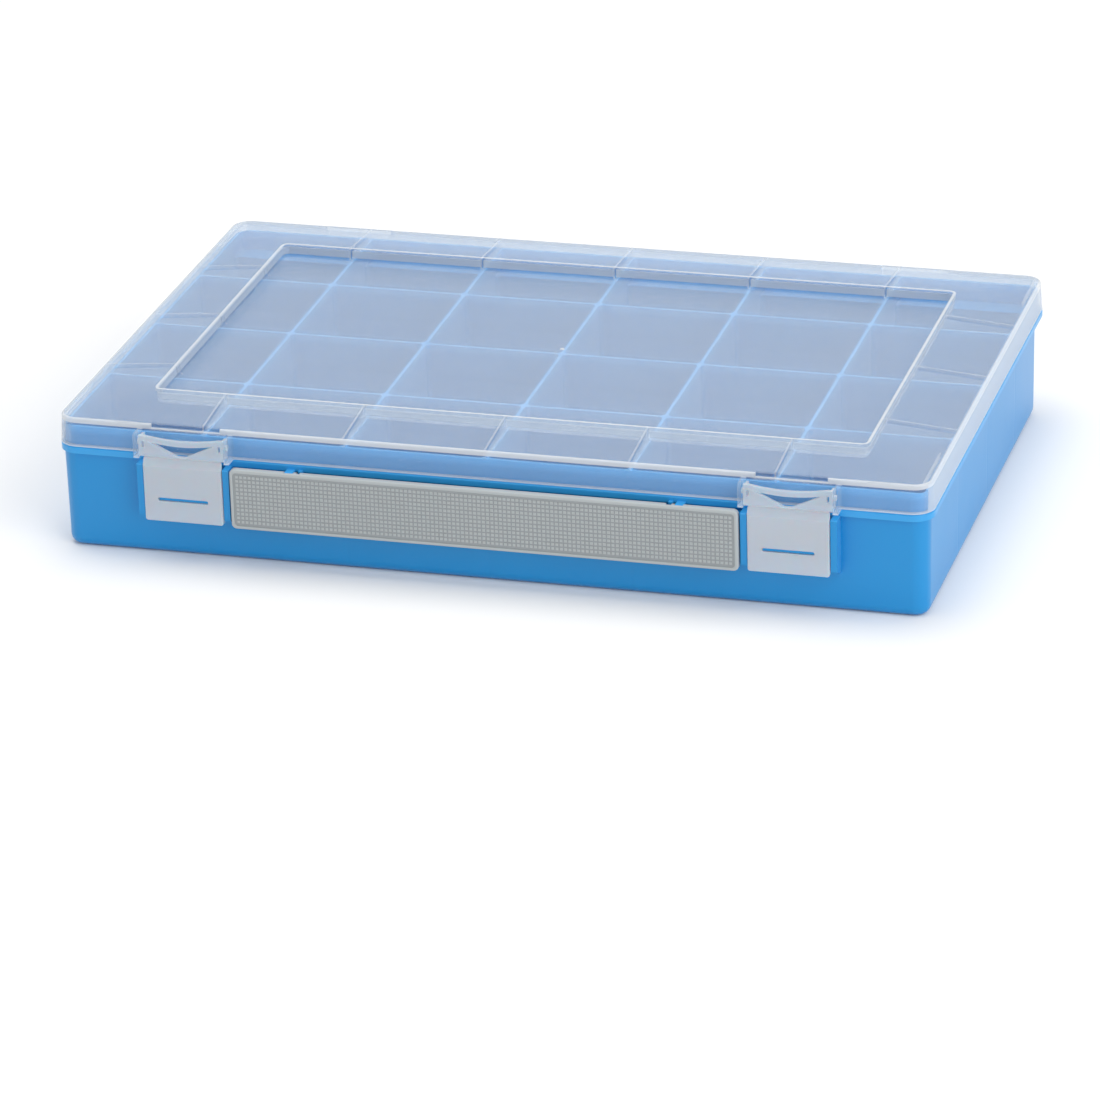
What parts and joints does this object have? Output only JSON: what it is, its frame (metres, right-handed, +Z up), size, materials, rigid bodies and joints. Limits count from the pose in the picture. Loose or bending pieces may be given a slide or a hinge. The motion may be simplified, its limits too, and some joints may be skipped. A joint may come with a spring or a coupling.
{
  "type": "compartment storage box",
  "caption": "Flat storage box for small parts: divided blue tray, hinged translucent lid with two front latches, and a fold-out carry handle.",
  "frame": {"origin": "on the floor, under the middle of the rim", "axes": "+X to the right along the front, -Y to the front where the latches and handle are, +Z up"},
  "size_m": [0.335, 0.2258, 0.055],
  "materials": {
    "tray_blue": "moulded polypropylene, satin",
    "lid_clear": "natural translucent polypropylene, smooth",
    "latch_milky": "natural polypropylene, satin",
    "handle_grey": "moulded polypropylene with a fine grid texture",
    "pin_steel": "drawn steel wire"
  },
  "bodies": {
    "tray": {"tray": "tray_blue", "hinge_pin_left": "pin_steel", "hinge_pin_right": "pin_steel"},
    "lid": {"lid": "lid_clear", "latch_anchor_left": "latch_milky", "latch_anchor_right": "latch_milky"},
    "latch_left": {"latch_flap_left": "latch_milky"},
    "latch_right": {"latch_flap_right": "latch_milky"},
    "handle": {"handle": "handle_grey"}
  },
  "joints": [
    {"name": "lid_hinge", "type": "hinge", "parent": "tray", "child": "lid", "pos_m": [0, 0.1076, 0.0353], "axis": [-1, 0, 0], "range_deg": [0, 180]},
    {"name": "latch_left_hinge", "type": "hinge", "parent": "lid", "child": "latch_left", "pos_m": [-0.1158, -0.11305, 0.0414], "axis": [-1, 0, 0], "range_deg": [0, 80]},
    {"name": "latch_right_hinge", "type": "hinge", "parent": "lid", "child": "latch_right", "pos_m": [0.1158, -0.11305, 0.0414], "axis": [-1, 0, 0], "range_deg": [0, 80]},
    {"name": "handle_hinge", "type": "hinge", "parent": "tray", "child": "handle", "pos_m": [0, -0.1119, 0.0374], "axis": [-1, 0, 0], "range_deg": [0, 90]}
  ]
}
